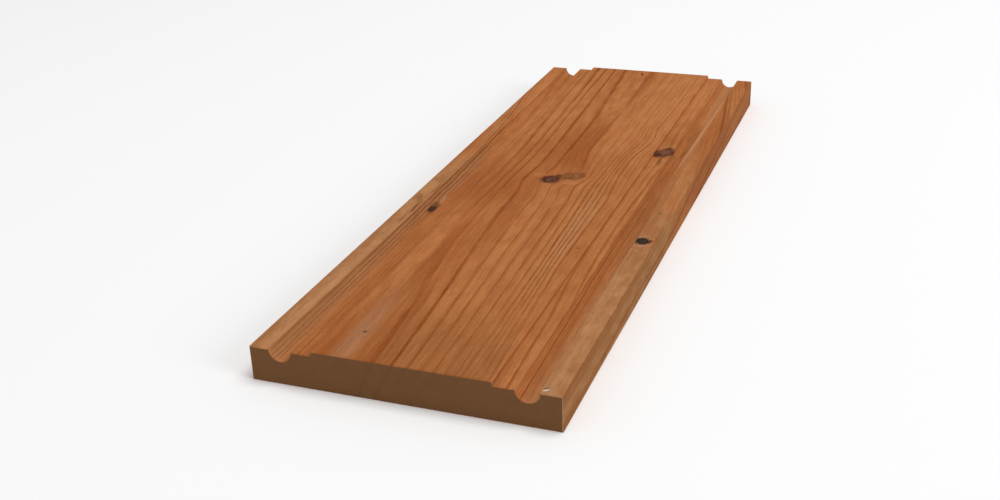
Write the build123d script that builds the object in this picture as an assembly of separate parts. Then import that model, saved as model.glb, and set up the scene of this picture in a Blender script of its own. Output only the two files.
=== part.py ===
from build123d import *
import os

# A moulded softwood ceiling board, lying on its back with its show face up.
# X runs across the board, Y along its length and its grain, Z up through its thickness.
# The origin is the middle of the flat back face.

# Driving dimensions, in millimetres
BOARD_LENGTH = 435.0
BOARD_WIDTH = 145.0
BOARD_THICKNESS = 19.0
EDGE_STRIP_WIDTH = 10.0  # lowered flat between each long edge and its groove
GROOVE_RADIUS = 5.25  # half-round groove, cut down from the level of the flats
INNER_STRIP_WIDTH = 10.0  # lowered flat between each groove and the raised panel
PANEL_RISE = 2.0  # step up from the lowered flats to the raised panel
ARRIS_RADIUS = 0.4  # light easing of the long outer corners

# Places in the right half of the section, measured from the middle of the back
HALF_WIDTH = BOARD_WIDTH / 2
FLAT_LEVEL = BOARD_THICKNESS - PANEL_RISE
GROOVE_OUTER_LIP = HALF_WIDTH - EDGE_STRIP_WIDTH
GROOVE_CENTRE = GROOVE_OUTER_LIP - GROOVE_RADIUS
GROOVE_INNER_LIP = GROOVE_CENTRE - GROOVE_RADIUS
PANEL_EDGE = GROOVE_INNER_LIP - INNER_STRIP_WIDTH

# Outer corners that the planer leaves sharp and a light sanding eases
BACK_CORNER = (HALF_WIDTH, 0)
EDGE_CORNER = (HALF_WIDTH, FLAT_LEVEL)
PANEL_CORNER = (PANEL_EDGE, BOARD_THICKNESS)


def right_half_section():
    """The right half of the section, across in X and up in Y, with its outer corners eased."""
    edge_and_back = Polyline(
        (0, BOARD_THICKNESS),
        (0, 0),
        BACK_CORNER,
        EDGE_CORNER,
        (GROOVE_OUTER_LIP, FLAT_LEVEL),
    )
    groove = ThreePointArc(
        (GROOVE_OUTER_LIP, FLAT_LEVEL),
        (GROOVE_CENTRE, FLAT_LEVEL - GROOVE_RADIUS),
        (GROOVE_INNER_LIP, FLAT_LEVEL),
    )
    step_and_panel = Polyline(
        (GROOVE_INNER_LIP, FLAT_LEVEL),
        (PANEL_EDGE, FLAT_LEVEL),
        PANEL_CORNER,
        (0, BOARD_THICKNESS),
    )
    half = make_face([edge_and_back, groove, step_and_panel])
    corners = [
        half.vertices().sort_by_distance(corner)[0]
        for corner in (BACK_CORNER, EDGE_CORNER, PANEL_CORNER)
    ]
    return fillet(corners, radius=ARRIS_RADIUS)


def ceiling_board():
    """The section mirrored about its middle line, stood upright and run along the length."""
    half = right_half_section()
    section = Plane.XZ * (half + mirror(half, about=Plane.YZ))
    return extrude(section, amount=BOARD_LENGTH / 2, both=True)


os.makedirs("parts", exist_ok=True)
export_step(ceiling_board(), "parts/ceiling_board.step")
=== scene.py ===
import math

import bpy
import numpy as np
from mathutils import Matrix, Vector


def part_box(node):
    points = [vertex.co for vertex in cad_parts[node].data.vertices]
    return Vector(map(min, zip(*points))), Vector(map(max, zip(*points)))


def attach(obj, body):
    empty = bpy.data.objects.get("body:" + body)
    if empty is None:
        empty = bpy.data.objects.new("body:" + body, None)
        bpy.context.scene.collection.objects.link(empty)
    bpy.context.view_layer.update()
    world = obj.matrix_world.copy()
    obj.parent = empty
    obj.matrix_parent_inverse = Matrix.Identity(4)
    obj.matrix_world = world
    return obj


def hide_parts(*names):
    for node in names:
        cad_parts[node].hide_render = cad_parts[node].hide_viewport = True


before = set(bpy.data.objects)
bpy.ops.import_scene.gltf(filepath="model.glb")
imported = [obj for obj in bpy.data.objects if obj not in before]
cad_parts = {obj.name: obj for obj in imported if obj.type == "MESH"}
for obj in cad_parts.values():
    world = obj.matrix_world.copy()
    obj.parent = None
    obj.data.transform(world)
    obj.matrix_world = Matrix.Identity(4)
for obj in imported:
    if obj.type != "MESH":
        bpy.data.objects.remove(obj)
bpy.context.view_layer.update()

# A moulded softwood ceiling board on a pale floor. Lengths are in millimetres, and MM turns them into metres.
# X runs across the board, Y along it towards the far end, Z up out of its show face.
MM = 0.001
NODE = "ceiling_board"
BOARD_LOW, BOARD_HIGH = (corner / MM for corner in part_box(NODE))
HALF_WIDTH = BOARD_HIGH.x
HALF_LENGTH = BOARD_HIGH.y
THICKNESS = BOARD_HIGH.z

# The moulded section
EDGE_STRIP = 10.0
GROOVE_RADIUS = 5.25
INNER_STRIP = 10.0
PANEL_RISE = 2.0
ARRIS = 0.4
END_EASE = 0.4
FLAT_LEVEL = THICKNESS - PANEL_RISE
GROOVE_CENTRE = HALF_WIDTH - EDGE_STRIP - GROOVE_RADIUS
PANEL_EDGE = GROOVE_CENTRE - GROOVE_RADIUS - INNER_STRIP

# How finely the board is meshed
ACROSS_STEP = 0.85
ALONG_STEP = 2.3
ARC_STEPS = 24
ARRIS_STEPS = 4
END_ROWS = 13
SHARP_ANGLE = 28.0


def srgb(red, green, blue):
    """A colour as it looks on a screen, from 0 to 255, in the linear values that shaders take."""
    def linear(value):
        part = value / 255
        return part / 12.92 if part <= 0.04045 else ((part + 0.055) / 1.055) ** 2.4
    return (linear(red), linear(green), linear(blue), 1.0)


# The section and the mesh

def straight(start, end):
    """Points from start towards end, without end, about one step apart."""
    count = max(1, round(math.dist(start, end) / ACROSS_STEP))
    shares = np.arange(count)[:, None] / count
    return np.array(start) + shares * (np.array(end) - np.array(start))


def arc(centre, radius, start, end, steps):
    """Points round an arc between two angles in degrees, without the last one."""
    angles = np.radians(start + (end - start) * np.arange(steps) / steps)
    return np.array(centre) + radius * np.stack([np.cos(angles), np.sin(angles)], 1)


def top_profile():
    """The show face from the left edge to the right one, as points across and up."""
    panel_corner = (PANEL_EDGE - ARRIS, THICKNESS - ARRIS)
    edge_corner = (HALF_WIDTH - ARRIS, FLAT_LEVEL - ARRIS)
    inner_lip = (GROOVE_CENTRE - GROOVE_RADIUS, FLAT_LEVEL)
    outer_lip = (GROOVE_CENTRE + GROOVE_RADIUS, FLAT_LEVEL)
    right = np.concatenate([
        straight((0, THICKNESS), (PANEL_EDGE - ARRIS, THICKNESS)),
        arc(panel_corner, ARRIS, 90, 0, ARRIS_STEPS),
        straight((PANEL_EDGE, THICKNESS - ARRIS), (PANEL_EDGE, FLAT_LEVEL)),
        straight((PANEL_EDGE, FLAT_LEVEL), inner_lip),
        arc((GROOVE_CENTRE, FLAT_LEVEL), GROOVE_RADIUS, 180, 360, ARC_STEPS),
        straight(outer_lip, (HALF_WIDTH - ARRIS, FLAT_LEVEL)),
        arc(edge_corner, ARRIS, 90, 0, ARRIS_STEPS),
        [(HALF_WIDTH, FLAT_LEVEL - ARRIS)],
    ])
    left = right[:0:-1] * (-1, 1)
    return np.concatenate([left, right])


def back_profile(count):
    """The back face from left to right, in as many points as the show face has."""
    middle = np.linspace(-HALF_WIDTH + ARRIS, HALF_WIDTH - ARRIS, count - 2 * ARRIS_STEPS)
    flat = np.stack([middle, np.zeros_like(middle)], 1)
    left = arc((-HALF_WIDTH + ARRIS, ARRIS), ARRIS, 180, 270, ARRIS_STEPS)
    right = left[::-1] * (-1, 1)
    return np.concatenate([left, flat, right])


def around(grid):
    """The outline of a grid of rows, anticlockwise from its lower left corner."""
    return np.concatenate([grid[0], grid[1:, -1], grid[-1, -2::-1], grid[-2:0:-1, 0]])


def inset(outline, depth):
    """A closed outline moved inwards."""
    run = np.roll(outline, -1, axis=0) - np.roll(outline, 1, axis=0)
    inward = np.stack([-run[:, 1], run[:, 0]], 1)
    return outline + depth * inward / np.linalg.norm(inward, axis=1)[:, None]


def filled(back, top):
    """Rows of points that fill the section between the back face and the show face."""
    shares = np.linspace(0, 1, END_ROWS)[:, None, None]
    return back + shares * (top - back)


def ring_faces(count, rings):
    """The faces between neighbouring rings of that many points each."""
    start = np.arange(count)
    following = np.roll(start, -1)
    band = np.stack([start, following, following + count, start + count], 1)
    return np.concatenate([band + count * k for k in range(rings - 1)])


def end_numbers(shape, outline_from, inside_from):
    """The point numbers of an end's grid, outlined by a ring of the sides, and which lie inside it."""
    numbers = np.full(shape, -1)
    outline = around(np.stack(np.indices(shape), 2))
    numbers[outline[:, 0], outline[:, 1]] = outline_from + np.arange(len(outline))
    inside = numbers < 0
    numbers[inside] = inside_from + np.arange(inside.sum())
    return numbers, inside


def grid_faces(numbers):
    """The faces of a grid of point numbers."""
    corners = [numbers[:-1, :-1], numbers[:-1, 1:], numbers[1:, 1:], numbers[1:, :-1]]
    return np.stack(corners, 2).reshape(-1, 4)


def board_points_and_faces():
    """The board's points in millimetres, its side faces and its end faces."""
    top = top_profile()
    columns = len(top)
    section = around(filled(back_profile(columns), top))
    eased = inset(section, END_EASE)
    eased_top = eased[columns + END_ROWS - 2:2 * columns + END_ROWS - 2][::-1]
    end_grid = filled(eased[:columns], eased_top)
    runs = round(2 * (HALF_LENGTH - END_EASE) / ALONG_STEP)
    inner = np.linspace(-HALF_LENGTH + END_EASE, HALF_LENGTH - END_EASE, runs + 1)
    rings = [(-HALF_LENGTH, eased), *((y, section) for y in inner), (HALF_LENGTH, eased)]
    points = [np.insert(ring, 1, y, axis=1) for y, ring in rings]
    count = len(section)
    made = count * len(rings)
    ends = []
    for ring, y in ((0, -HALF_LENGTH), (len(rings) - 1, HALF_LENGTH)):
        numbers, inside = end_numbers(end_grid.shape[:2], count * ring, made)
        made += inside.sum()
        points.append(np.insert(end_grid[inside], 1, y, axis=1))
        faces = grid_faces(numbers)
        ends.append(faces if y < 0 else faces[:, ::-1])
    return np.concatenate(points), ring_faces(count, len(rings)), np.concatenate(ends)


# How the grain runs
# The rings circle a pith that lies behind the board, beyond its right edge, so they lean through the board.
PITH_ACROSS = 93.0
PITH_DEPTH = 54.0

# Guide fibres on the show face: the grain place that each one stands for, and where it lies across the board
# at each station along it, from the near end to the far end. They part round the knots.
STATIONS = (-217, -150, -100, -50, -20, -8, 0, 8, 20, 50, 75, 100, 150, 217)
GUIDES = (
    (-75.0, (-75, -75, -75, -75, -75, -75, -75, -75, -75, -76, -78, -80, -88, -96)),
    (-61.3, (-61.3, -61.3, -61.3, -61.6, -61.8, -61.8, -61.8, -61.9, -62.1, -62.6, -63.8, -65, -70.5, -78)),
    (-46.2, (-45.2, -45.7, -46.2, -46.2, -45.8, -45.4, -45.2, -45.1, -45, -44.7, -44.9, -45, -46.5, -48.7)),
    (-38.5, (-36.5, -37.8, -38.5, -38, -37, -36.4, -36, -35.9, -35.9, -36.6, -38, -39.4, -42, -45.5)),
    (-32.0, (-29, -30.5, -32, -32.1, -31.6, -31.3, -31, -30.7, -30.2, -30.1, -31, -31.9, -33.6, -37.2)),
    (-25.6, (-11.2, -18, -25.3, -26.5, -26, -26.1, -26.2, -25.8, -25, -25, -26.1, -27.3, -29.4, -31.2)),
    (-12.6, (-3.4, -7.8, -12.6, -16.2, -16.9, -18.9, -20, -18.9, -17.4, -18.1, -19.1, -20.2, -22.2, -25.4)),
    (-2.5, (4.3, 0.5, -2.5, -4.7, -4.9, -8, -10.5, -10, -8.2, -8.2, -8.6, -8.9, -12.3, -18)),
    (4.4, (10.6, 7, 4.4, 2.9, 1.3, -2, 2, 9, 9.9, 4.5, 4.3, 4.1, 4.4, 2.4)),
    (11.0, (16.2, 13.2, 11, 9.4, 7.2, 3.5, 8.5, 13, 12.2, 9.8, 9.8, 9.8, 9.4, 8.1)),
    (17.2, (21.5, 19.1, 17.2, 15.5, 14, 12.2, 12.9, 16.8, 15.2, 14.8, 15, 15.2, 14, 13.5)),
    (25.8, (28.6, 27, 25.8, 23.8, 22.6, 21.9, 21.5, 22.2, 22.4, 22.9, 25, 24.4, 24.6, 24.6)),
    (34.7, (40.5, 37.2, 34.7, 35.2, 35.2, 34.2, 33.3, 32.6, 31.8, 32.3, 37.4, 34.4, 36.2, 36)),
    (42.2, (48.8, 45.8, 42.2, 41.7, 41.4, 41.3, 41.2, 41, 40.8, 39.6, 41.8, 41.8, 42.5, 42.5)),
    (51.5, (57, 55, 51.5, 50.3, 50.6, 51.2, 51.6, 51.6, 51.7, 55, 55.2, 53, 53, 53)),
    (58.5, (62.4, 60.5, 58.5, 58.2, 58.5, 58.8, 59, 59, 59, 62, 61, 59, 58, 58)),
    (79.1, (79.1, 79.1, 79.1, 78.5, 77, 75.8, 75, 74.2, 73, 71, 69, 67, 63, 59.5)),
    (108.0, (115, 113, 108, 110, 107, 102.5, 99.5, 97.3, 94, 86, 82.4, 78.8, 70.9, 60.5)),
    (172.0, (222, 192, 172, 152, 139, 134, 131, 128, 124, 114.8, 106.8, 98.8, 89.3, 72)),
    (204.0, (254, 224, 204, 184, 171, 166, 163, 160, 156, 146, 138, 130, 117.5, 98.5)),
)
FIBRE_BEND = 4.5

# Latewood lines: grain place, half width, and darkness at six stations from the near end to the far one.
# A line of no darkness keeps its neighbours' darkness from reaching past it.
DARKNESS_STATIONS = (-190, -90, -10, 60, 125, 190)
LATEWOOD = (
    (-75.0, 0.5, (0.2, 0.2, 0.2, 0.3, 0.3, 0.3)),
    (-70.5, 1.2, (0.2, 0.15, 0.05, 0.5, 0.4, 0.3)),
    (-63.2, 0.5, (0.0, 0.0, 0.1, 0.3, 0.3, 0.2)),
    (-61.4, 0.5, (0.1, 0.3, 0.5, 1.0, 0.95, 0.6)),
    (-59.8, 0.4, (0.4, 0.6, 0.9, 0.6, 0.3, 0.3)),
    (-58.1, 0.4, (0.5, 0.6, 0.8, 0.35, 0.2, 0.1)),
    (-56.6, 0.4, (0.2, 0.3, 0.3, 0.05, 0.0, 0.0)),
    (-53.0, 0.5, (0.1, 0.0, 0.1, 0.1, 0.2, 0.25)),
    (-50.5, 0.5, (0.15, 0.05, 0.1, 0.1, 0.2, 0.3)),
    (-48.0, 0.6, (0.5, 0.1, 0.05, 0.2, 0.1, 0.1)),
    (-45.7, 0.5, (0.15, 0.1, 0.05, 0.35, 0.4, 0.8)),
    (-43.8, 0.7, (0.15, 0.05, 0.05, 0.1, 0.15, 0.5)),
    (-38.5, 1.4, (0.25, 0.0, 0.3, 0.75, 0.35, 0.3)),
    (-32.0, 0.9, (0.0, 0.1, 0.6, 0.65, 0.5, 0.9)),
    (-25.6, 1.0, (0.85, 0.1, 0.85, 0.8, 0.6, 0.9)),
    (-21.5, 0.8, (0.1, 0.1, 0.0, 0.0, 0.0, 0.0)),
    (-12.6, 1.3, (1.0, 0.75, 0.9, 1.0, 0.75, 0.85)),
    (-2.6, 0.9, (0.65, 0.5, 0.4, 0.95, 0.65, 0.85)),
    (4.4, 0.8, (0.5, 0.5, 0.4, 0.4, 0.3, 0.75)),
    (11.0, 0.6, (0.5, 0.55, 0.4, 0.1, 0.05, 0.05)),
    (17.2, 0.6, (0.5, 0.65, 0.65, 0.4, 0.2, 0.3)),
    (22.0, 0.5, (0.25, 0.6, 0.6, 0.35, 0.25, 0.3)),
    (25.8, 0.45, (0.35, 0.95, 0.8, 0.4, 0.35, 0.35)),
    (27.9, 0.35, (0.25, 0.8, 0.65, 0.4, 0.2, 0.25)),
    (29.9, 0.35, (0.3, 0.85, 0.6, 0.55, 0.2, 0.25)),
    (31.8, 0.35, (0.25, 0.9, 0.65, 0.6, 0.2, 0.25)),
    (34.7, 0.5, (0.25, 0.85, 0.6, 0.8, 0.4, 0.4)),
    (37.4, 0.4, (0.05, 0.1, 0.1, 0.65, 0.1, 0.05)),
    (39.8, 0.4, (0.1, 0.2, 0.2, 0.5, 0.05, 0.05)),
    (44.6, 0.7, (0.8, 0.5, 0.0, 0.0, 0.0, 0.0)),
    (48.2, 0.5, (0.0, 0.0, 0.3, 0.7, 0.4, 0.1)),
    (51.8, 0.7, (0.3, 0.7, 0.7, 0.4, 0.3, 0.2)),
    (55.0, 0.5, (0.15, 0.1, 0.1, 0.2, 0.1, 0.0)),
    (58.8, 0.9, (0.85, 0.7, 0.6, 0.4, 0.3, 0.1)),
    (61.4, 0.6, (0.0, 0.1, 0.4, 0.5, 0.4, 0.1)),
    (64.2, 0.8, (0.1, 0.75, 0.85, 0.4, 0.25, 0.0)),
    (65.8, 0.5, (0.0, 0.0, 0.0, 0.0, 0.0, 0.0)),
    (78.3, 1.2, (0.5, 0.5, 0.3, 0.0, 0.0, 0.0)),
    (88.0, 2.0, (0.1, 0.1, 0.2, 0.3, 0.1, 0.0)),
    (97.0, 1.5, (0.0, 0.1, 0.3, 0.3, 0.2, 0.0)),
    (108.0, 5.5, (0.5, 0.5, 0.9, 0.95, 0.8, 0.7)),
    (120.0, 2.5, (0.6, 0.5, 0.5, 0.6, 0.5, 0.4)),
    (134.0, 2.5, (0.1, 0.1, 0.3, 0.3, 0.3, 0.2)),
    (147.0, 2.5, (0.1, 0.1, 0.4, 0.35, 0.3, 0.3)),
    (159.0, 2.0, (0.1, 0.1, 0.3, 0.3, 0.3, 0.2)),
    (172.0, 4.5, (0.3, 0.3, 0.8, 0.95, 0.95, 0.7)),
    (187.0, 2.5, (0.2, 0.2, 0.3, 0.3, 0.35, 0.3)),
    (204.0, 5.0, (0.3, 0.3, 0.5, 0.5, 0.5, 0.4)),
)
# The wide lines of the right strip, from this grain place on, stay out of the groove beside it.
WIDE_LINES_FROM = 80.0
# The lines to the left of this grain place shade off to their left, and those to its right to their right.
SHADE_TURNS_AT = 1.0

# Stretches of one colour: grain place from and to, along from and to, and strength
PALE_STRETCHES = (
    (-90, -61.5, -260, 20, 1.0),
    (-66, -61.5, 20, 260, 0.5),
    (60, 130, -260, -20, 1.0),
    (60, 90, -20, 60, 0.5),
)
LIGHT_STRETCHES = (
    (-66.5, -62.5, -260, -95, 0.65),
    (-57, -52.5, -260, -90, 0.5),
    (26.5, 34, -115, -15, 0.6),
    (35.5, 39, 45, 85, 0.6),
    (45.5, 52, -260, -175, 0.35),
    (60, 66, -260, -190, 0.5),
    (66.5, 70.5, -260, -110, 0.5),
)
OLIVE_STRETCHES = (
    (-62, -57, -260, 60, 1.0),
)
RED_STRETCHES = (
    (-75, -66, 20, 95, 0.5),
    (-53.5, -26, -60, 30, 0.75),
    (-51.5, -40, -260, -60, 0.55),
    (-42, -32.5, -260, -175, 0.9),
    (-40, -28, -180, -140, 0.4),
    (-30, -24, -145, -55, 1.0),
    (-31.5, -26, -157, -80, 1.0),
    (-30, -25.6, -260, -165, 0.8),
    (-25.6, -19.5, -260, -130, 1.0),
    (-19.5, -14, -260, -180, 0.9),
    (-26, -14, -50, 20, 0.8),
    (-24, -14, -150, -50, 0.6),
    (-37, -14, 20, 70, 0.6),
    (-12, -4, -100, 100, 0.7),
    (-2.5, 5, 5, 105, 1.0),
    (-10, -3, 120, 260, 0.4),
    (-2, 3, 175, 260, 0.4),
    (4.5, 12, 0, 45, 0.9),
    (4.5, 10, 150, 260, 0.7),
    (52, 70, -260, -110, 0.3),
    (66, 79, 50, 110, 0.5),
    (79, 230, 10, 150, 0.55),
)
GOLD_STRETCHES = (
    (-59, -54, 100, 200, 0.6),
    (-52, -40, 85, 200, 0.3),
    (-37, -33, 85, 200, 0.4),
    (-31, -27, 110, 180, 0.3),
    (5.5, 10.5, 100, 180, 0.3),
    (5.5, 10.5, -140, -90, 0.6),
    (17, 41, 85, 260, 0.5),
    (11, 41, 45, 85, 0.45),
    (19, 34, -130, -8, 0.5),
    (45.5, 51, -95, 40, 0.6),
    (44, 51, 130, 200, 0.7),
    (52, 72, 120, 260, 0.3),
)
DULL_STRETCHES = (
    (-57, -52, -260, 60, 0.3),
    (-26, 36, -260, -160, 0.65),
    (-38, -26, -260, -130, 0.4),
    (19.5, 27, -260, -185, 0.95),
    (36, 40.5, -260, -185, 0.7),
    (8, 52, -200, 50, 0.3),
    (56, 66, -260, 20, 0.4),
    (57, 72, -70, 60, 0.58),
    (42, 56, 30, 120, 0.4),
    (64, 82, 70, 130, 0.6),
    (66, 78, -95, -40, 0.5),
    (78.5, 83, -260, -60, 0.85),
    (83, 92, -260, -60, 0.55),
    (97, 119, 90, 260, 0.45),
    (120, 200, 165, 260, 0.35),
)
GREY_STRETCHES = (
    (-57.5, -54.8, -35, 35, 0.7),
    (-35, -29.6, -235, -158, 0.7),
)
STRETCHES = {
    "red": RED_STRETCHES,
    "gold": GOLD_STRETCHES,
    "pale": PALE_STRETCHES,
    "light": LIGHT_STRETCHES,
    "olive": OLIVE_STRETCHES,
    "dull": DULL_STRETCHES,
    "grey": GREY_STRETCHES,
}
STRETCH_EDGE_ACROSS = 2.0
STRETCH_EDGE_ALONG = 60.0
# The pale wood of the outer strips fades out in the grooves, this far from their bottom
PALE_FADE = 2.5
# The right groove's outer wall carries painted light: from this far beyond its bottom it is coloured lighter,
# standing in for the light its shaded slope misses
PAINTED_WALL_LIGHT_FROM = 1.0
PAINTED_WALL_LIGHT_STRENGTH = 0.9


def lean_to_surface(x, z):
    """Where the ring through a point would come out at the level of the raised panel."""
    return x + (THICKNESS - z) * PITH_DEPTH / (PITH_ACROSS - x)


def guide_lines():
    """The guide fibres as smooth lines, with a place across for every millimetre along."""
    margin = 30
    along = np.arange(-HALF_LENGTH - margin, HALF_LENGTH + margin + 1)
    offsets = np.arange(-margin, margin + 1)
    kernel = np.exp(-0.5 * (offsets / FIBRE_BEND) ** 2)
    kernel /= kernel.sum()
    lines = []
    for _, places in GUIDES:
        line = np.interp(along, STATIONS, places)
        padded = np.pad(line, margin, mode="edge")
        lines.append(np.convolve(padded, kernel, mode="valid"))
    return along, np.array(lines)


def grain_places(points):
    """Each point's place in the grain: the same number all along one fibre."""
    along, lines = guide_lines()
    standing_for = [place for place, _ in GUIDES]
    across = lean_to_surface(points[:, 0], points[:, 2])
    stations, station_of = np.unique(points[:, 1], return_inverse=True)
    grain = np.empty(len(points))
    for number, y in enumerate(stations):
        here = station_of == number
        guides_here = [np.interp(y, along, line) for line in lines]
        grain[here] = np.interp(across[here], guides_here, standing_for)
    return grain


def latewood_fields(grain, along):
    """The ring count at each point, whole on every line, and how far apart, wide and dark the lines are."""
    places = np.array([place for place, _, _ in LATEWOOD])
    gaps = np.diff(places)
    beside = (np.append(gaps, gaps[-1]) + np.insert(gaps, 0, gaps[0])) / 2
    widths = np.array([width for _, width, _ in LATEWOOD])
    darkness = np.array([dark for _, _, dark in LATEWOOD])
    station = np.interp(along, DARKNESS_STATIONS, np.arange(len(DARKNESS_STATIONS)))
    dark = np.zeros(len(grain))
    for number in range(len(DARKNESS_STATIONS)):
        share = np.clip(1 - abs(station - number), 0, 1)
        dark += share * np.interp(grain, places, darkness[:, number])
    return {
        "ring": np.interp(grain, places, np.arange(len(places))),
        "ring_gap": np.interp(grain, places, beside),
        "line_width": np.interp(grain, places, widths),
        "line_dark": dark,
        "shade_side": np.sign(grain - SHADE_TURNS_AT),
    }


def stretch_field(grain, along, stretches):
    """How strongly one kind of stretch colours each point, fading out over its edges."""
    field = np.zeros(len(grain))
    for grain_from, grain_to, along_from, along_to, strength in stretches:
        across_share = np.minimum(grain - grain_from, grain_to - grain) / STRETCH_EDGE_ACROSS
        along_share = np.minimum(along - along_from, along_to - along) / STRETCH_EDGE_ALONG
        inside = np.clip(across_share + 0.5, 0, 1) * np.clip(along_share + 0.5, 0, 1)
        field = np.maximum(field, strength * inside)
    return field


def painted_wall_light(across):
    """How strongly painted light lightens the right groove's outer wall at each place across the board."""
    wall = np.clip((across - GROOVE_CENTRE - PAINTED_WALL_LIGHT_FROM) / PALE_FADE, 0, 1)
    wall[across > GROOVE_CENTRE + GROOVE_RADIUS] = 0
    return PAINTED_WALL_LIGHT_STRENGTH * wall


def corner_highlights(outward, along):
    """1 on the eased corners between the square edges and the ends, where a painted highlight goes, and 0
    elsewhere.
    """
    at_end = abs(along) > HALF_LENGTH - END_EASE / 2
    at_edge = outward > HALF_WIDTH - 1.5 * END_EASE
    return (at_end & at_edge).astype(float)


def wood_fields(points):
    """What the materials need to know at each point: its lines, its stretches with the painted light on the
    right groove's outer wall, its edge for the painted edge shade and its painted corner highlights.
    """
    across = points[:, 0]
    along = points[:, 1]
    outward = abs(across)
    grain = grain_places(points)
    fields = latewood_fields(grain, along)
    fields["grain"] = grain
    for name, stretches in STRETCHES.items():
        fields[name] = stretch_field(grain, along, stretches)
    fields["pale"] *= np.clip((outward - GROOVE_CENTRE) / PALE_FADE, 0, 1)
    in_right_groove = abs(across - GROOVE_CENTRE) < GROOVE_RADIUS
    fields["line_dark"][in_right_groove & (grain > WIDE_LINES_FROM)] = 0
    # The light stretches hold pale wood, and on the right groove's outer wall also painted light.
    fields["light"] = np.maximum(fields["light"], painted_wall_light(across))
    fields["edge"] = np.clip((outward - HALF_WIDTH) / ARRIS + 1, 0, 1)
    fields["corner_highlight"] = corner_highlights(outward, along)
    return fields


# Materials
NOISE_DETAIL = 3.0


class Shader:
    """A material's nodes, with one short method for each kind that the wood is wired from."""

    def __init__(self, name):
        self.material = bpy.data.materials.new(name)
        self.material.use_nodes = True
        self.tree = self.material.node_tree
        self.surface = self.tree.nodes["Principled BSDF"]
        self.place = self.node("TexCoord").outputs["Object"]

    def node(self, kind, inputs=None, **settings):
        made = self.tree.nodes.new("ShaderNode" + kind)
        for name, value in settings.items():
            setattr(made, name, value)
        for name, value in (inputs or {}).items():
            self.put(made.inputs[name], value)
        return made

    def put(self, socket, value):
        if isinstance(value, bpy.types.NodeSocket):
            self.tree.links.new(value, socket)
        else:
            socket.default_value = value

    def field(self, name):
        return self.node("Attribute", attribute_name=name).outputs["Fac"]

    def math(self, operation, first, second=0.0):
        return self.node("Math", {0: first, 1: second}, operation=operation).outputs[0]

    def ease(self, value, low, high, at_low=0.0, at_high=1.0):
        """A smooth step from at_low to at_high as value goes from low to high."""
        inputs = {"Value": value, "From Min": low, "From Max": high, "To Min": at_low, "To Max": at_high}
        return self.node("MapRange", inputs, interpolation_type="SMOOTHSTEP").outputs[0]

    def mix(self, share, first, second, blend="MIX"):
        made = self.node("Mix", {0: share, 6: first, 7: second}, data_type="RGBA", blend_type=blend)
        return made.outputs[2]

    def noise(self, across, along, seed=0.0):
        """Noise from 0 to 1 whose grains are that many millimetres wide and long."""
        size = (across * MM, along * MM, across * MM)
        stretched = self.node("Mapping", {"Vector": self.place, "Scale": size}, vector_type="TEXTURE")
        inputs = {"Vector": stretched.outputs[0], "W": seed, "Scale": 1.0, "Detail": NOISE_DETAIL}
        return self.node("TexNoise", inputs, noise_dimensions="4D").outputs["Fac"]

    def centred(self, value):
        """A value from 0 to 1, moved to lie as far below zero as above it."""
        return self.math("SUBTRACT", value, 0.5)

    def relief(self, height, depth):
        """Bumps over the whole surface, of that depth in millimetres."""
        bumps = self.node("Bump", {"Height": height, "Strength": 1.0, "Distance": depth * MM})
        self.put(self.surface.inputs["Normal"], bumps.outputs[0])

    def ellipsoid(self, centre, radii, turn):
        """Distance from an ellipsoid's middle, 1 on its rim, turned in plan."""
        inputs = {
            "Vector": self.place,
            "Location": tuple(value * MM for value in centre),
            "Rotation": (0, 0, math.radians(turn)),
            "Scale": tuple(value * MM for value in radii),
        }
        local = self.node("Mapping", inputs, vector_type="TEXTURE").outputs[0]
        return self.node("VectorMath", {0: local}, operation="LENGTH").outputs["Value"]


EARLYWOOD = srgb(183, 117, 68)
EARLYWOOD_DULL = srgb(173, 106, 59)
STRETCH_COLOURS = {
    "red": srgb(157, 89, 45),
    "gold": srgb(190, 124, 74),
    "light": srgb(188, 133, 90),
    "olive": srgb(168, 117, 75),
    "dull": srgb(150, 93, 53),
    "grey": srgb(162, 112, 80),
}
MOTTLE_BROWN = srgb(163, 111, 70)
MOTTLE_LIGHT = srgb(177, 126, 84)
LATEWOOD_BROWN = srgb(131, 63, 19)
# Painted shade: the square edges face sideways and are painted a shade darker than the show face, to a share
# of its colour
EDGE_PAINTED_SHADE = (0.81, 0.81, 0.70, 1.0)
# Painted highlight on the eased upright corners where the square edges meet the ends
CORNER_HIGHLIGHT = srgb(156, 133, 114)
SAWN_BROWN = srgb(114, 79, 50)
SAWN_LIGHT = srgb(124, 87, 56)
END_RING_BROWN = srgb(70, 42, 22)
END_RING_SHARE = 0.12
# How far the lines wander and how ragged they are, and how far their soft shade reaches, in millimetres
LINE_WANDER = 1.2
LINE_FUZZ = 0.8
SHADE_REACH = 3.0
SHADE_DARKNESS = 0.45
# The fine streaks between the lines, in millimetres, and how much they and the short flecks vary the colour
STREAK_WIDTH = 0.9
STREAK_LENGTH = 24.0
STREAK_CONTRAST = 0.1
FLECK_CONTRAST = 0.07
# How rough the surfaces are, in millimetres, and how far the latewood stands proud, as a share of that
PLANED_RELIEF = 0.04
LINE_PROUD = 0.5
SAWN_RELIEF = 0.1
# Dry bare wood hardly shines
PLANED_SHINE = 0.03
SAWN_SHINE = 0.05

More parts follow.
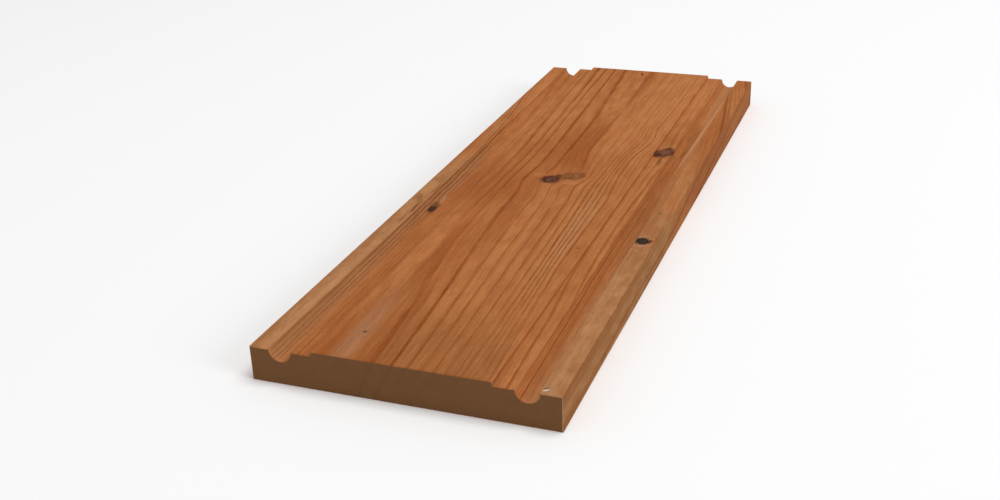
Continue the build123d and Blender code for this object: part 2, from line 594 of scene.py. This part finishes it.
# Marks on the show face: middle across and along, half width and half length, turn in degrees, strength and
# colour. MARK_DEPTH keeps each one on its own level of the moulding, and RIM_BREAK roughens its rim.
MARK_DEPTH = 1.8
RIM_BREAK = 0.9
MAIN_KNOT = (
    (8.5, -1.5, 4.5, 3.0, 20, 0.6, srgb(184, 122, 76)),
    (-12.5, 6.0, 4.5, 4.0, 0, 0.5, srgb(180, 116, 68)),
    (-4.0, 1.0, 7.5, 7.5, 0, 0.5, srgb(146, 82, 44)),
    (6.4, 8.8, 7.6, 5.8, 25, 0.85, srgb(126, 80, 42)),
    (12.0, 11.0, 1.4, 4.2, 10, 0.6, srgb(120, 68, 34)),
    (8.6, 9.6, 0.9, 3.2, 20, 0.6, srgb(160, 106, 70)),
    (4.6, 4.6, 4.6, 1.0, 25, 0.7, srgb(102, 66, 32)),
    (-1.0, 6.4, 1.5, 3.0, 20, 0.8, srgb(92, 44, 28)),
    (-4.2, 0.7, 5.5, 5.9, -20, 1.0, srgb(70, 42, 26)),
    (-3.6, 0.3, 3.1, 3.4, -20, 0.7, srgb(118, 78, 58)),
    (-2.8, 0.0, 1.4, 1.9, -20, 0.8, srgb(76, 46, 32)),
    (-6.6, 4.0, 2.6, 1.2, 30, 0.8, srgb(108, 40, 34)),
)
STEP_KNOT = (
    (47.0, 64.0, 5.8, 8.4, -25, 1.0, srgb(92, 56, 38)),
    (46.9, 65.0, 3.6, 4.6, -30, 0.7, srgb(124, 80, 58)),
    (43.6, 59.6, 2.4, 3.8, -10, 0.9, srgb(76, 46, 28)),
    (48.2, 71.6, 2.8, 1.7, 20, 0.8, srgb(84, 50, 22)),
    (51.3, 64.5, 0.8, 3.6, 0, 0.7, srgb(104, 50, 36)),
    (45.4, 76.0, 1.5, 2.5, -10, 0.7, srgb(150, 110, 56)),
    (50.2, 57.6, 1.6, 2.5, -20, 0.7, srgb(150, 106, 54)),
    (53.2, 66.0, 1.2, 2.4, 0, 0.6, srgb(150, 104, 52)),
    (47.4, 49.0, 1.0, 6.6, 8, 0.7, srgb(130, 74, 38)),
    (49.6, 51.5, 1.1, 3.8, 5, 0.6, srgb(182, 128, 94)),
)
DEAD_KNOT = (
    (67.0, -49.0, 4.5, 5.5, 0, 0.5, srgb(160, 98, 60)),
    (66.0, -63.5, 6.0, 7.0, 0, 0.6, srgb(180, 122, 90)),
    (69.8, -62.6, 1.4, 2.6, -15, 0.9, srgb(142, 80, 30)),
    (65.7, -62.7, 4.4, 4.3, 0, 1.0, srgb(50, 38, 26)),
    (66.0, -62.6, 2.0, 2.1, 0, 0.5, srgb(66, 60, 54)),
    (66.4, -68.8, 1.4, 1.4, 0, 0.6, srgb(190, 132, 102)),
)
GROOVE_KNOT = (
    (-59.3, -40.5, 3.0, 8.5, 0, 0.8, srgb(110, 72, 48)),
    (-59.4, -43.0, 1.5, 4.4, -6, 0.8, srgb(54, 36, 28)),
    (-58.7, -29.0, 0.9, 6.5, 4, 0.6, srgb(188, 138, 98)),
)
STREAKS = (
    (-68.5, -26.0, 4.0, 11.0, 0, 0.5, srgb(184, 132, 84)),
    (-67.2, -41.5, 1.6, 9.0, 23, 0.6, srgb(146, 96, 56)),
    (-63.8, -26.0, 0.6, 8.0, -5, 0.7, srgb(128, 78, 44)),
    (-64.6, -55.0, 0.9, 6.8, 4, 0.75, srgb(112, 64, 34)),
    (-65.2, -68.0, 0.9, 7.0, 0, 0.6, srgb(134, 84, 50)),
    (-19.0, 7.0, 0.9, 14.0, -7, 0.5, srgb(134, 70, 26)),
    (-3.6, 209.0, 0.7, 4.0, 16, 0.9, srgb(84, 46, 24)),
    (2.9, -52.5, 0.6, 5.0, 0, 0.4, srgb(120, 66, 32)),
    (55.5, 77.0, 0.5, 8.0, -4, 0.6, srgb(112, 66, 32)),
    # These two pale streaks along the right groove are painted highlights where light catches its wall and
    # lip
    (56.6, 185.0, 3.2, 62.0, 0, 0.7, srgb(188, 132, 86)),
    (59.2, 128.0, 1.4, 80.0, -1, 0.85, srgb(204, 150, 106)),
)
SPECKS = (
    (-27.0, -194.0, 1.0, 1.2, 0, 0.9, srgb(98, 66, 52)),
    (37.9, -84.0, 0.8, 0.9, 0, 0.8, srgb(110, 62, 32)),
    (66.0, -26.0, 1.2, 1.3, 0, 0.8, srgb(114, 86, 48)),
    (66.0, -75.0, 0.7, 0.8, 0, 0.5, srgb(200, 152, 112)),
)
# A small splinter that the saw tore up at the near end, with a painted shadow beside it as its second mark
TEAR = (
    (64.5, -213.0, 4.0, 4.0, 0, 0.6, srgb(164, 124, 84)),
    (63.9, -212.9, 1.4, 0.5, 36, 0.8, srgb(120, 88, 74)),
    (64.2, -214.4, 1.4, 0.5, 36, 1.0, srgb(224, 200, 190)),
)
MARKS = MAIN_KNOT + STEP_KNOT + DEAD_KNOT + GROOVE_KNOT + STREAKS + SPECKS + TEAR


def latewood(shader):
    """How dark the latewood is: a crisp line with a soft shade to one side."""
    gap = shader.field("ring_gap")
    wander = shader.math("MULTIPLY", shader.centred(shader.noise(3, 18)), LINE_WANDER)
    fuzz = shader.math("MULTIPLY", shader.centred(shader.noise(0.9, 2.5, seed=6.0)), LINE_FUZZ)
    moved = shader.math("DIVIDE", shader.math("ADD", wander, fuzz), gap)
    level = shader.math("ADD", shader.math("ADD", shader.field("ring"), moved), 0.5)
    turn = shader.centred(shader.math("FRACT", level))
    off = shader.math("MULTIPLY", turn, gap)
    reach = shader.math("DIVIDE", shader.math("ABSOLUTE", off), shader.field("line_width"))
    crisp = shader.ease(reach, 0.4, 1.4, 1.0, 0.0)
    aside = shader.math("MULTIPLY", off, shader.field("shade_side"))
    shade_end = shader.math("MINIMUM", shader.math("MULTIPLY", gap, 0.5), SHADE_REACH)
    shade = shader.ease(aside, 0.0, shade_end, SHADE_DARKNESS, 0.0)
    soft = shader.math("MULTIPLY", shade, shader.math("GREATER_THAN", aside, 0.0))
    both = shader.math("MAXIMUM", crisp, soft)
    dashed = shader.ease(shader.noise(1.4, 8, seed=3.0), 0.25, 0.7, 0.65, 1.05)
    return shader.math("MULTIPLY", shader.math("MULTIPLY", both, dashed), shader.field("line_dark"))


def fibres(shader):
    """Fine streaks, from 0 to 1, that follow the grain round the knots."""
    along = shader.node("SeparateXYZ", {0: shader.place}).outputs["Y"]
    across = shader.math("DIVIDE", shader.field("grain"), STREAK_WIDTH)
    run = shader.math("DIVIDE", along, STREAK_LENGTH * MM)
    flow = shader.node("CombineXYZ", {0: across, 1: run}).outputs[0]
    return shader.node("TexNoise", {"Vector": flow, "Scale": 1.0, "Detail": NOISE_DETAIL}).outputs["Fac"]


def early_colour(shader):
    """The wood between the lines, with its stretches of other colours, the painted light on the right
    groove's outer wall and its mottled pale strips.
    """
    cloud = shader.noise(6, 16, seed=1.0)
    colour = shader.mix(shader.ease(cloud, 0.35, 0.65), EARLYWOOD_DULL, EARLYWOOD)
    feather = shader.ease(shader.noise(1.6, 30, seed=2.0), 0.25, 0.75, 0.7, 1.15)
    blotch = shader.ease(shader.noise(5, 10, seed=9.0), 0.35, 0.65)
    tints = dict(STRETCH_COLOURS, pale=shader.mix(blotch, MOTTLE_BROWN, MOTTLE_LIGHT))
    for name in STRETCHES:
        ragged = shader.math("MULTIPLY", shader.field(name), feather)
        colour = shader.mix(shader.ease(ragged, 0.0, 1.0), colour, tints[name])
    return colour


def show_level(across):
    """How high the show face is at a place across it."""
    from_groove = abs(across) - GROOVE_CENTRE
    if abs(across) < PANEL_EDGE:
        return THICKNESS
    if abs(from_groove) < GROOVE_RADIUS:
        return FLAT_LEVEL - math.sqrt(GROOVE_RADIUS**2 - from_groove**2)
    return FLAT_LEVEL


def marked(shader, colour):
    """The knots, streaks and specks over the grain, with their rims broken up; among them are painted
    highlights in the right groove and a painted shadow by the splinter.
    """
    broken = shader.math("MULTIPLY", shader.centred(shader.noise(1.2, 2.2, seed=4.0)), RIM_BREAK)
    for across, along, half_width, half_length, turn, strength, stain in MARKS:
        centre = (across, along, show_level(across))
        reach = shader.ellipsoid(centre, (half_width, half_length, MARK_DEPTH), turn)
        share = shader.ease(shader.math("ADD", reach, broken), 0.65, 1.25, strength, 0.0)
        colour = shader.mix(share, colour, stain)
    return colour


def planed_wood():
    """The faces and edges: grain lines, marks, painted shade on the square edges, painted highlights on the
    end corners and fine streaks.
    """
    shader = Shader("planed_wood")
    lines = latewood(shader)
    colour = shader.mix(lines, early_colour(shader), LATEWOOD_BROWN)
    colour = marked(shader, colour)
    # Painted shade on the square edges.
    colour = shader.mix(shader.field("edge"), colour, EDGE_PAINTED_SHADE, blend="MULTIPLY")
    # Painted highlight on the eased corners at the ends.
    colour = shader.mix(shader.field("corner_highlight"), colour, CORNER_HIGHLIGHT)
    grain = fibres(shader)
    streak = shader.ease(grain, 0.25, 0.75, 1 - STREAK_CONTRAST, 1 + STREAK_CONTRAST)
    fleck = shader.ease(shader.noise(0.6, 2.6, seed=8.0), 0.3, 0.7, 1 - FLECK_CONTRAST, 1 + FLECK_CONTRAST)
    colour = shader.mix(1.0, colour, shader.math("MULTIPLY", streak, fleck), blend="MULTIPLY")
    shader.put(shader.surface.inputs["Base Color"], colour)
    shader.put(shader.surface.inputs["Roughness"], shader.ease(grain, 0.2, 0.8, 0.78, 0.62))
    shader.surface.inputs["Specular IOR Level"].default_value = PLANED_SHINE
    shader.relief(shader.math("ADD", grain, shader.math("MULTIPLY", lines, LINE_PROUD)), PLANED_RELIEF)
    return shader.material


def sawn_end():
    """The ends: dark mottled end grain with faint rings and open pores."""
    shader = Shader("sawn_end")
    mottle = shader.noise(6, 6, seed=7.0)
    colour = shader.mix(mottle, SAWN_BROWN, SAWN_LIGHT)
    colour = shader.mix(shader.math("MULTIPLY", latewood(shader), END_RING_SHARE), colour, END_RING_BROWN)
    pores = shader.noise(0.8, 0.8, seed=10.0)
    shader.put(shader.surface.inputs["Base Color"], colour)
    shader.put(shader.surface.inputs["Roughness"], shader.ease(pores, 0.3, 0.7, 0.8, 0.92))
    shader.surface.inputs["Specular IOR Level"].default_value = SAWN_SHINE
    shader.relief(pores, SAWN_RELIEF)
    return shader.material


def make_board():
    """The dressed board, which stands in for the plain solid."""
    points, sides, ends = board_points_and_faces()
    mesh = bpy.data.meshes.new(NODE)
    faces = np.concatenate([sides, ends])
    mesh.from_pydata((points * MM).tolist(), [], faces.tolist())
    for name, values in wood_fields(points).items():
        mesh.attributes.new(name, "FLOAT", "POINT").data.foreach_set("value", values.astype(np.float32))
    mesh.materials.append(planed_wood())
    mesh.materials.append(sawn_end())
    slots = np.repeat((0, 1), (len(sides), len(ends)))
    mesh.polygons.foreach_set("material_index", slots.astype(np.int32))
    mesh.shade_smooth()
    mesh.set_sharp_from_angle(angle=math.radians(SHARP_ANGLE))
    board = bpy.data.objects.new("moulded_board", mesh)
    bpy.context.scene.collection.objects.link(board)
    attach(board, "root")
    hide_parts(NODE)


# Floor, light and camera
FLOOR_REACH = 4.0
FLOOR_COLOUR = (0.97, 0.97, 0.97, 1.0)
WORLD_STRENGTH = 0.42
KEY_PLACE = (1.0, 0.2, 4.2)
KEY_SIZE = 2.6
KEY_POWER = 103.0
FILL_PLACE = (4.8, -1.2, 2.2)
FILL_SIZE = 2.4
FILL_POWER = 70.0
CAMERA_PLACE = (0.2048, -0.6248, 0.2826)
CAMERA_YAW = 21.10
CAMERA_PITCH = -24.98
CAMERA_ROLL = -2.09
CAMERA_LENS = 44.74
SENSOR_WIDTH = 36.0


def make_floor():
    mesh = bpy.data.meshes.new("floor")
    reach = FLOOR_REACH
    corners = [(-reach, -reach, 0), (reach, -reach, 0), (reach, reach, 0), (-reach, reach, 0)]
    mesh.from_pydata(corners, [], [(0, 1, 2, 3)])
    shader = Shader("floor")
    shader.surface.inputs["Base Color"].default_value = FLOOR_COLOUR
    shader.surface.inputs["Roughness"].default_value = 1.0
    shader.surface.inputs["Specular IOR Level"].default_value = 0.0
    mesh.materials.append(shader.material)
    floor = bpy.data.objects.new("floor", mesh)
    bpy.context.scene.collection.objects.link(floor)


def make_lamp(name, place, size, power):
    """A soft square lamp that looks at the board."""
    lamp = bpy.data.lights.new(name, "AREA")
    lamp.size = size
    lamp.energy = power
    holder = bpy.data.objects.new(name, lamp)
    holder.location = place
    holder.rotation_euler = (-holder.location).to_track_quat("-Z", "Y").to_euler()
    bpy.context.scene.collection.objects.link(holder)


def make_light():
    world = bpy.data.worlds.new("studio")
    world.use_nodes = True
    world.node_tree.nodes["Background"].inputs["Color"].default_value = (1, 1, 1, 1)
    world.node_tree.nodes["Background"].inputs["Strength"].default_value = WORLD_STRENGTH
    bpy.context.scene.world = world
    make_lamp("key", KEY_PLACE, KEY_SIZE, KEY_POWER)
    make_lamp("fill", FILL_PLACE, FILL_SIZE, FILL_POWER)


def make_camera():
    data = bpy.data.cameras.new("camera")
    data.sensor_fit = "HORIZONTAL"
    data.sensor_width = SENSOR_WIDTH
    data.lens = CAMERA_LENS
    camera = bpy.data.objects.new("camera", data)
    turn = Matrix.Rotation(math.radians(CAMERA_YAW), 4, "Z")
    tip = Matrix.Rotation(math.radians(90 + CAMERA_PITCH), 4, "X")
    roll = Matrix.Rotation(math.radians(CAMERA_ROLL), 4, "Z")
    camera.matrix_world = Matrix.Translation(CAMERA_PLACE) @ turn @ tip @ roll
    bpy.context.scene.collection.objects.link(camera)
    bpy.context.scene.camera = camera


make_board()
make_floor()
make_light()
make_camera()
bpy.context.scene.view_settings.view_transform = "Standard"
